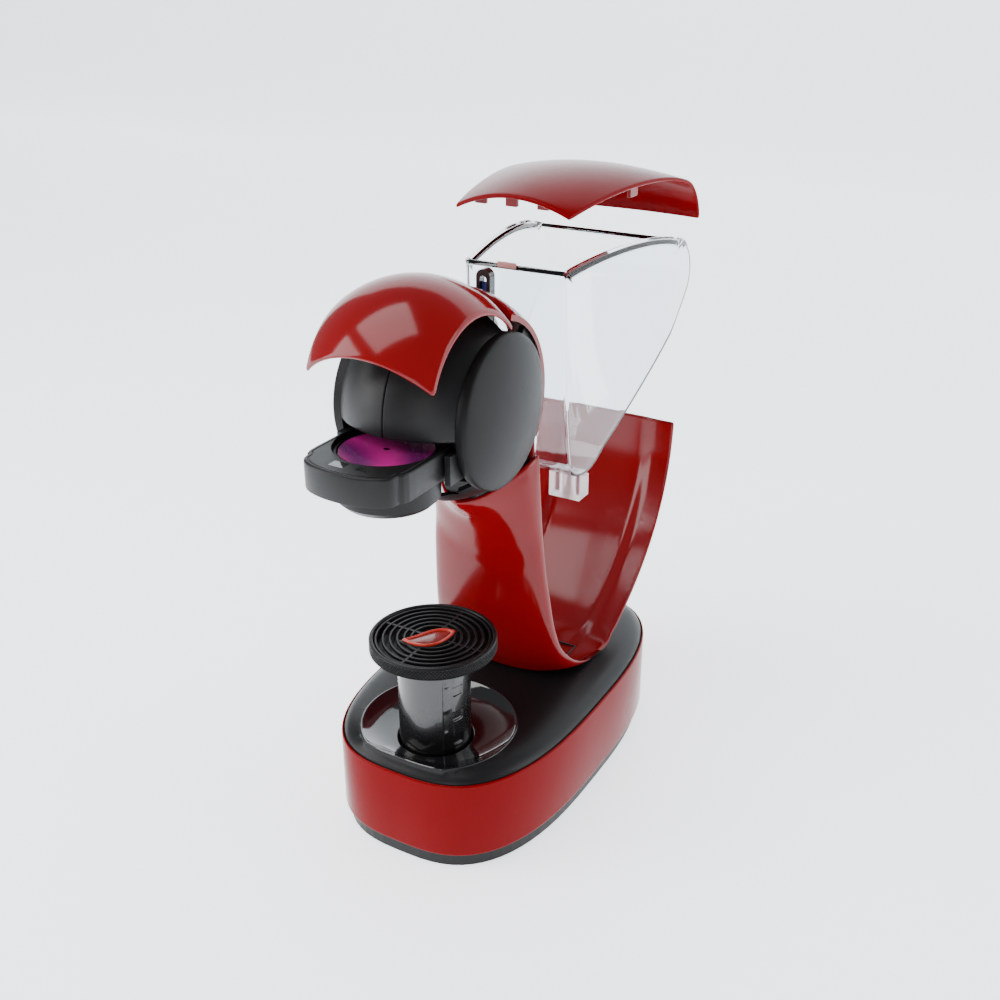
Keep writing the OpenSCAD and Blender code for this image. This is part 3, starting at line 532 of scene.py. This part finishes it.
def ribbon(st, u):
    """Grid of points of the V-shaped body: each station is an arch at the front and a flanged wall at the rear."""
    g = np.zeros((len(st), len(u), 3))
    au = np.abs(u)
    for k, (w, ye, ze, yc, zc, p, rear) in enumerate(st):
        c = au ** (1 / p)
        dep = np.sqrt(1 - c * c) ** p
        edge = w * (1 - au)
        flange = 0.22 * np.clip(edge / 12, 0, 1) + 0.78 * smoothstep(edge, 11.5, 24)
        dep = dep * (1 - rear) + flange * rear
        lift = (1 - au ** 2) * (1 - rear) + flange * rear
        g[k, :, 0] = w * u
        g[k, :, 1] = ye + (yc - ye) * dep
        g[k, :, 2] = np.maximum(ze + (zc - ze) * lift, DECK_Z + 0.05)
    return g


skin = ribbon(st, u)
out = normals(skin)
out *= -np.sign(out[5, len(u) // 2, 1])    # the front of the neck faces the front
inner = skin - 2.9 * out
inner[..., 2] = np.maximum(inner[..., 2], DECK_Z + 0.2)
piece("body", *slab(skin, inner, 6), RED, "base", "red_gloss", ["body_shell"], angle=50)

# Ledge inside the chin, behind its rim, running towards a point inside the neck.
rim = skin[0][skin[0][:, 1] < -40]
inward = unit(np.array([0, -30, 233.0]) - rim)
ledge = np.array([rim + inward * (1.8 + 2.0 * k) + np.array([0, 0, -0.9]) for k in range(5)])
piece("ledge", *slab(ledge, ledge - np.array([0, 0, 1.6]), 2), RED, "base", "red_gloss")

# Red inner wall that closes the front arm of the V towards the tank.
wall = [(34.0, -13.9, 254), (34.4, -14.6, 248)] + [q[:3] for q in st if 88 < q[2] < 240 and q[1] < 15]
wall = np.array([np.c_[np.linspace(3.0 - w, w - 3.0, 25), np.full(25, y - 0.5), np.full(25, z)] for w, y, z in wall])
piece("inner wall", *slab(wall, wall - np.array([0, 1.6, 0]), 2), RED, "base", "red_gloss", ["neck_cover"])


# ---------------------------------------------------------------- head
def ball(R, xs, phi0, phi1, n, c=HEAD):
    """Grid of points on a ball, x by angle above the front, the angle's ends given for each x."""
    g = np.zeros((n, len(xs), 3))
    for j, x in enumerate(xs):
        rho = math.sqrt(R * R - x * x)
        a = np.radians(np.linspace(phi0[j], phi1[j], n))
        g[:, j] = np.c_[np.full(n, x), c[1] - rho * np.cos(a), c[2] + rho * np.sin(a)]
    return g


HEAD_W = 40.0                     # half the width of the visor and the rear cover
VISOR_R, VISOR_IN = 64.5, 61.7
ARCH_R = 105                      # radius of the visor's arched front edge, seen from the front
AXLE = (-61, 341)
xs = HEAD_W * arc_half(81)


def visor_skin(R):
    """The lifted visor's outside or inside, from its arched front edge to its rear edge."""
    drop = -0.4 - (ARCH_R - np.sqrt(ARCH_R ** 2 - xs * xs))
    front = np.degrees(np.arcsin(drop / np.sqrt(R ** 2 - xs * xs))) + LIFT
    return ball(R, xs, front, np.full(len(xs), 139.0), 100, OPEN)


piece("visor shell", *slab(visor_skin(VISOR_R), visor_skin(VISOR_IN), 6), RED, "visor", "red_gloss", ["visor"],
      angle=50)
c, s = math.cos(math.radians(-LIFT)), math.sin(math.radians(-LIFT))
ear = [(y - AXLE[0], z - AXLE[1]) for y, z in ((-66.5, 335.6), (-55.5, 335.6), (-52, 346), (-62.5, 349))]
ear = [(AXLE[0] + y * c - z * s, AXLE[1] + y * s + z * c) for y, z in ear]
for x in (-23, 20):
    v = [(xx, y, z) for xx in (x, x + 3) for y, z in ear]
    bevel(piece("visor ear", v, [(0, 1, 2, 3), (7, 6, 5, 4), (0, 4, 5, 1), (1, 5, 6, 2), (2, 6, 7, 3), (3, 7, 4, 0)],
                RED, "visor", "red_gloss"), 0.4)

# The drum, with the fine upright seam in the middle of its front.
DRUM_R, DRUM_IN, DRUM_W = 59.5, 57.2, 37.9
xd = np.unique(np.r_[DRUM_W * arc_half(61), np.linspace(-1.6, 1.6, 33)])
low, high = np.full(len(xd), -3.0), np.full(len(xd), 98.0)
seam = 0.9 * np.exp(-((xd / 0.38) ** 2))
drum = HEAD + (ball(DRUM_R, xd, low, high, 90) - HEAD) * (1 - seam / DRUM_R)[:, None]
piece("drum", *slab(drum, ball(DRUM_IN, xd, low, high, 90), 6), SATIN, "base", "black_satin", ["head_drum"],
      angle=60)


def side_disc(n=160, face_r=45.2, face_x=44.0, crown=7.3):
    """The right disc: a rolled edge and a crowned face, from a profile of (radius, x)."""
    prof = [(44.0, 38.1), (45.4, 38.1), (45.9, 38.5), (46.0, 39.2), (46.0, 42.6), (45.8, 43.4), (face_r, face_x)]
    for t in np.linspace(0, 1, 40)[1:]:
        prof.append((max(face_r * (1 - t), 0.001), face_x + crown * (1 - (1 - t) ** 2) ** 0.82))
    a = np.linspace(0, 2 * np.pi, n, endpoint=False)
    v = np.vstack([np.c_[np.full(n, x), HEAD[1] + r * np.cos(a), HEAD[2] + r * np.sin(a)] for r, x in prof])
    return v, quads(len(prof), n, close_v=True)


# The right disc takes the darker copy of the black satin: painted shade.
piece("right disc", *side_disc(), SATIN_SHADED, "base", "black_satin", ["side_disc_right"], angle=60)


def sheet(outer, inner, keep):
    """A sheet between two grids of points with some of its cells left out."""
    m, back = outer.shape[1], outer.shape[0] * outer.shape[1]
    kept = np.pad(keep, 1)    # the cells outside the grid count as left out
    faces = []
    for i, j in np.argwhere(keep):
        a, b, c, d = i * m + j, i * m + j + 1, (i + 1) * m + j + 1, (i + 1) * m + j
        faces += [(a, b, c, d), (d + back, c + back, b + back, a + back)]
        for p, q, di, dj in ((a, b, -1, 0), (b, c, 0, 1), (c, d, 1, 0), (d, a, 0, -1)):
            if not kept[i + 1 + di, j + 1 + dj]:
                faces.append((q, p, p + back, q + back))
    return np.vstack([outer.reshape(-1, 3), inner.reshape(-1, 3)]), faces


# The rear cover, with the slot that the hot and cold lever moves in.
COVER_R, COVER_IN, COVER_ROWS = 68.0, 65.3, 91
SLOT_W, SLOT_FROM, SLOT_TO = 12.5, 133, 157.2    # half width, and its ends in degrees above the front
xc = np.unique(np.r_[HEAD_W * arc_half(81), -SLOT_W, SLOT_W])
cover_lo, cover_hi = 107.0 - 3.0 * (xc / HEAD_W) ** 2, np.full(len(xc), 214.0)
ang = cover_lo + (cover_hi - cover_lo) * np.linspace(0, 1, COVER_ROWS)[:, None]
in_slot = (ang[:-1, :-1] > SLOT_FROM) & (ang[1:, :-1] < SLOT_TO) & (np.abs(xc[:-1] + xc[1:]) / 2 < SLOT_W)
skins = [ball(R, xc, cover_lo, cover_hi, COVER_ROWS) for R in (COVER_R, COVER_IN)]
bevel(piece("rear cover", *sheet(*skins, ~in_slot), RED, "base", "red_gloss", ["rear_cover"], angle=50), 0.5)


# ---------------------------------------------------------------- drawer
def along(pts, n):
    """An open path resampled to n evenly spaced points."""
    p = np.asarray(pts, float)
    d = np.r_[0, np.cumsum(np.linalg.norm(np.diff(p, axis=0), axis=1))]
    t = np.linspace(0, d[-1], n)
    return np.stack([np.interp(t, d, p[:, k]) for k in range(2)], 1)


def drawer():
    """The drawer: a U-shaped tray round the pod's opening, its profile run from the left end to the right."""
    n, top, low, pod_r, pod_y = 260, 283.0, 266.0, 29.9, -129
    a = np.linspace(np.pi, 0, 80)
    front = np.c_[29.5 * np.cos(a) * (1 + 0.05 * np.sin(a)), -161 - 15.2 * np.sin(a) ** 0.9]
    outer = along(np.vstack([[(-33, -96), (-33, -150)], [(-32.7, -156), (-31.4, -159.6)], front,
                             [(31.4, -159.6), (32.7, -156)], [(33, -150), (33, -96)]]), n)
    b = np.radians(np.linspace(123.2, 416.8, 200))
    inner = along(np.vstack([[(-27, -96), (-27, -104)], np.c_[pod_r * np.cos(b), pod_y + pod_r * np.sin(b)],
                             [(27, -104), (27, -96)]]), n)
    e = np.gradient(outer, axis=0)
    towards = unit(np.stack([-e[:, 1], e[:, 0]], 1))
    towards *= np.sign(towards[n // 2] @ (np.array([0, pod_y]) - outer[n // 2]))
    room = np.minimum(1, np.linalg.norm(outer - inner, axis=1) / 9)[:, None]    # the edges shrink where it is thin
    edge = ((1.0, low), (0.3, low + 0.3), (0, low + 1), (0, top - 1.4), (0.12, top - 0.8), (0.45, top - 0.3),
            (1.1, top), (2.3, top), (2.5, top - 0.35), (2.9, top - 0.35), (3.1, top))
    rows = [(outer + towards * d * room, z) for d, z in edge]
    rows += [(inner - unit(inner - outer) * 0.8 * room, top), (inner, top - 0.7), (inner, low), rows[0]]
    m = len(rows)
    ends = [tuple(k * n + i for k in range(m - 1)) for i in (0, n - 1)]
    return np.vstack([np.c_[p, np.full(n, z)] for p, z in rows]), quads(m, n) + ends


piece("drawer", *drawer(), SATIN, "drawer", "black_satin", ["pod_drawer"], angle=40)
slots = [cube((-11, -168, 282), (-1.5, -161.5, 283.04)), cube((5.5, -166.6, 282), (12.8, -161.2, 283.04))]
piece("drawer slots", *join(slots), BLACK, "drawer", "black_satin")

# ---------------------------------------------------------------- tank
# The tank from the side, as (y, z): front, bottom, sloping back and rear corner, and then the open top.
walls = np.vstack([bezier([(14, 352), (16.5, 305), (18, 262), (24, 222)], 30),
                   bezier([(24, 222), (28, 206), (46, 203), (62, 220)], 24),
                   bezier([(62, 220), (95, 243), (140, 276), (168, 312)], 40),
                   bezier([(168, 312), (175.5, 329), (165, 344), (152, 348.5)], 16)])
side = np.vstack([walls, bezier([(152, 348.5), (116, 361), (56, 359), (14, 352)], 40)])
rounded = np.r_[np.ones(len(walls)), np.zeros(len(side) - len(walls))]    # how round the edge is at each point
rounded[0] = 0
rounded[len(walls) - 4:len(walls)] = [0.8, 0.6, 0.35, 0.1]


def half_width(y):
    return np.interp(y, [13, 140, 190], [35.4, 57, 57.5])


def tank_shell(R=2.4, middle=(88, 300)):
    """Two side walls with rounded edges, drawn in to their middles, and the wall between them."""
    rows = []
    for s in (1, -1):
        for into, across in ((0, 1), (0.076, 0.617), (0.293, 0.293), (0.617, 0.076), (1, 0)):
            p = inset(side, (R * into * rounded)[:, None])
            rows.append(np.c_[s * (half_width(p[:, 0]) - R * across * rounded), p])
        for t in (0.12, 0.3, 0.5, 0.7, 0.88, 1.0):
            q = p * (1 - t) + np.array(middle) * t
            rows.append(np.c_[s * half_width(q[:, 0]), q])
    n, per = len(side), len(rows) // 2
    faces = quads(per, n, close_v=True) + quads(per, n, off=per * n, close_v=True)
    faces += [(i, i + 1, per * n + i + 1, per * n + i) for i in range(len(walls) - 1)]
    return np.vstack(rows), faces


tank = piece("tank", *tank_shell(), CLEAR, "tank", "clear_plastic", ["water_tank"], angle=50)
sol = tank.modifiers.new("wall", "SOLIDIFY")
sol.thickness = 2.3 * MM
sol.offset = -1
sol.use_even_offset = True
sol.use_rim = True


# ---------------------------------------------------------------- lid
LID_FRONT_W, LID_REAR_W = 38.8, 59    # half widths
LID_TOP = [(11, 387.5), (60, 398.5), (115, 399.5), (148, 389.5)]
LID_BACK = [(148, 389.5), (161, 385.5), (171, 373), (172.7, 361)]
LID_TURN = 0.7                        # share of the way at which the top turns into the back


def lid_line(t):
    """The lid's middle from the side, as (y, z), from the front at 0 to the rear edge at 1."""
    return cubic(LID_TOP, t / LID_TURN) if t < LID_TURN else cubic(LID_BACK, (t - LID_TURN) / (1 - LID_TURN))


def lid_point(t, s, depth):
    """A point of the lid, s from -1 at the left edge to 1 at the right, and depth below its outside."""
    p = lid_line(t)
    tan = lid_line(min(t + 0.01, 1)) - lid_line(max(t - 0.01, 0))
    crown = (9.5 - 6 * t) * (1 - s * s)
    half = LID_FRONT_W + (LID_REAR_W - LID_FRONT_W) * min(max((p[0] - 11) / 144, 0), 1) ** 0.9
    y, z = p + (crown - depth) * unit(np.array([-tan[1], tan[0]]))
    return s * half, y, z


lid_o, lid_i = [np.array([[lid_point(t, s * k, depth) for s in arc_half(61)] for t in np.linspace(0, 1, 90)])
                for k, depth in ((1, 0), (0.995, 2.7))]
tabs = [cube((x, 17, 387.5), (x + 8, 20, 397.4 - 0.006 * (x + 4) ** 2)) for x in (-30, -8, 14)]
tabs += [cube((38, 96, 384), (40.5, 108, 398)), cube((-40.5, 96, 384), (-38, 108, 398))]
# The lid takes the darker copy of the red gloss: painted shade.
piece("lid", *slab(lid_o, lid_i, 6), RED_SHADED, "lid", "red_gloss", ["tank_lid"], angle=50)
bevel(piece("lid tabs", *join(tabs), RED, "lid", "red_gloss"), 0.5)

# ---------------------------------------------------------------- CAD nodes kept
# The left disc and the power button take the darker copy of the black satin: painted shade.
finish_of = {
    "rubber_feet": RUBBER, "base_plate": SATIN, "base_screws": STEEL, "cord_inlet": RUBBER, "neck_collar": SATIN,
    "head_chassis": SATIN, "chassis_screws": STEEL, "side_disc_left": SATIN_SHADED, "head_underside": SATIN,
    "visor_bracket": GREY, "visor_axle": STEEL, "injector_frame": GREY, "injector": WHITE,
    "injector_seal": REDRUBBER, "injector_springs": STEEL, "pod_cup": SATIN, "pod_shell": POD,
    "pod_foil": FOIL, "selector_valve": WHITE, "selector_lever": COLUMN, "selector_mark": MARK,
    "power_button": SATIN_SHADED, "button_ring": RING, "tank_foot": FROST, "tank_valve": WHITE, "tank_clip": ROSE,
    "dock_socket": RUBBER, "water_pump": BRASS, "pump_mounts": RUBBER, "thermoblock": ALU, "thermostat": SATIN,
    "flow_meter": WHITE, "flow_rotor": GREY, "control_board": BOARD, "suction_hose": HOSE, "riser_hose": HOSE}
for name, mat in finish_of.items():
    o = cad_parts[name]
    o.data.materials.clear()
    o.data.materials.append(mat)
    smooth(o.data, 32)
for name in ("selector_lever", "tank_clip", "tank_foot", "head_chassis"):
    bevel(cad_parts[name], 0.5)

# ---------------------------------------------------------------- stage, light, camera
# All in metres from here on.
BACK_Y, BACK_R, BACK_H = 2.2, 0.8, 4.0    # the backdrop's foot, its curve and its height
stage_mat = material("floor", (0.90, 0.93, 0.96), 0.6, bump=0.05, scale=200, tint=0.01)
glow = stage_mat.node_tree.nodes["Principled BSDF"]
glow.inputs["Emission Color"].default_value = (0.93, 0.97, 1.0, 1)
glow.inputs["Emission Strength"].default_value = 1.7
fl = bpy.data.meshes.new("floor")
prof = [(-3.0, 0.0), (BACK_Y, 0.0)]
prof += [(BACK_Y + BACK_R * math.sin(a), BACK_R * (1 - math.cos(a))) for a in np.linspace(0, np.pi / 2, 16)[1:]]
prof += [(BACK_Y + BACK_R, BACK_H)]
fv = [(x, y, z - 0.0002) for y, z in prof for x in (-5.0, 5.0)]
fl.from_pydata(fv, [], [(2 * i, 2 * i + 1, 2 * i + 3, 2 * i + 2) for i in range(len(prof) - 1)])
fl.polygons.foreach_set("use_smooth", [True] * len(fl.polygons))
fl.materials.append(stage_mat)
floor = bpy.data.objects.new("floor", fl)
bpy.context.scene.collection.objects.link(floor)


def softbox(name, at, height, size, power):
    """A soft rectangular light that faces a point on the machine's axis."""
    lamp = bpy.data.lights.new(name, "AREA")
    lamp.shape = "RECTANGLE"
    lamp.size, lamp.size_y = size
    lamp.energy = power
    o = bpy.data.objects.new(name, lamp)
    o.location = at
    o.rotation_mode = "QUATERNION"
    o.rotation_quaternion = (Vector((0, 0, height)) - Vector(at)).to_track_quat("-Z", "Y")
    bpy.context.scene.collection.objects.link(o)


softbox("left box", (-1.3, -1.0, 0.75), 0.2, (0.9, 1.3), 26)
softbox("top box", (-0.5, -0.5, 1.9), 0.1, (1.3, 1.3), 30)
softbox("right box", (1.7, 0.5, 0.7), 0.2, (0.7, 1.4), 15)
softbox("front box", (0.5, -1.9, 0.5), 0.15, (0.8, 0.9), 8)
world = bpy.data.worlds.new("world")
world.use_nodes = True
sky = world.node_tree.nodes["Background"]
sky.inputs["Color"].default_value = (0.93, 0.96, 1.0, 1)
sky.inputs["Strength"].default_value = 0.30
bpy.context.scene.world = world

cam_data = bpy.data.cameras.new("camera")
cam_data.lens = 43.37
cam_data.sensor_width = 36.0
cam = bpy.data.objects.new("camera", cam_data)
cam.location = (0.36066, -0.6324, 0.53393)
turn, tilt = math.radians(29.83), math.radians(24.8)    # to the right of the front, above the horizon
look = Vector((-math.sin(turn) * math.cos(tilt), math.cos(turn) * math.cos(tilt), -math.sin(tilt)))
cam.rotation_mode = "QUATERNION"
cam.rotation_quaternion = look.to_track_quat("-Z", "Y")
bpy.context.scene.collection.objects.link(cam)
bpy.context.scene.camera = cam
